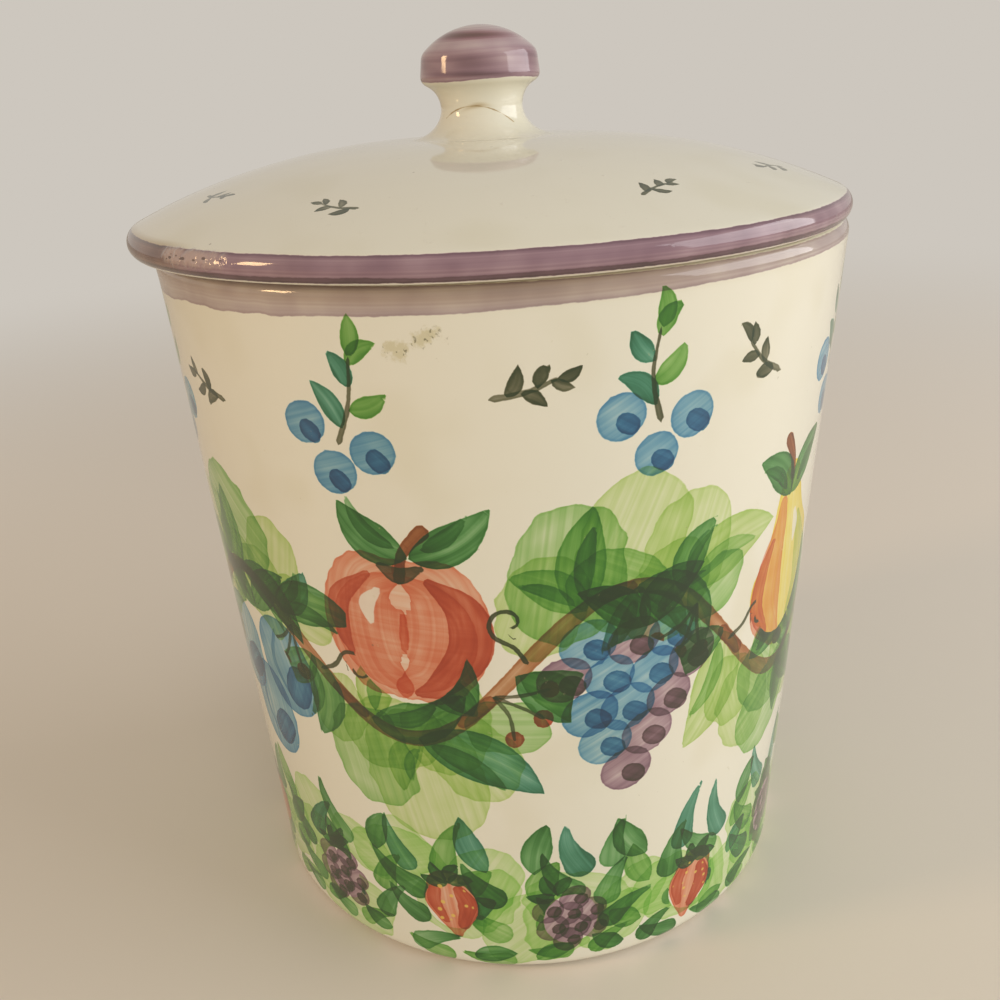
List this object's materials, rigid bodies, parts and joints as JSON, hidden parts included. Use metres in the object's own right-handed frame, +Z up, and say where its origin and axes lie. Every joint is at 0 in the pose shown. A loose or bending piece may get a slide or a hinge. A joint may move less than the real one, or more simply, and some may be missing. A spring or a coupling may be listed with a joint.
{
  "type": "canister",
  "caption": "Round tapering pottery canister with a lift-off domed lid, rounded rim and mushroom knob, glazed and painted.",
  "frame": {"origin": "middle of the jar's flat base, on the surface it stands on and on the jar's own axis", "axes": "+Z up along the jar's axis; +X to the right and -Y towards the viewer of the painted front; the lid's axis stands 3 mm towards -X"},
  "size_m": [0.2, 0.2, 0.2529],
  "materials": {
    "jar_glaze": "glossy cream glaze with painted design",
    "lid_glaze": "glossy cream glaze with a mauve painted rim",
    "knob_glaze": "glossy mauve brushed glaze over cream"
  },
  "bodies": {
    "jar": {"jar": "jar_glaze"},
    "lid": {"lid": "lid_glaze", "knob": "knob_glaze"}
  },
  "joints": [
    {"name": "lid_lift", "type": "slide", "parent": "jar", "child": "lid", "axis": [0, 0, 1], "range_m": [0, 0.15]}
  ]
}
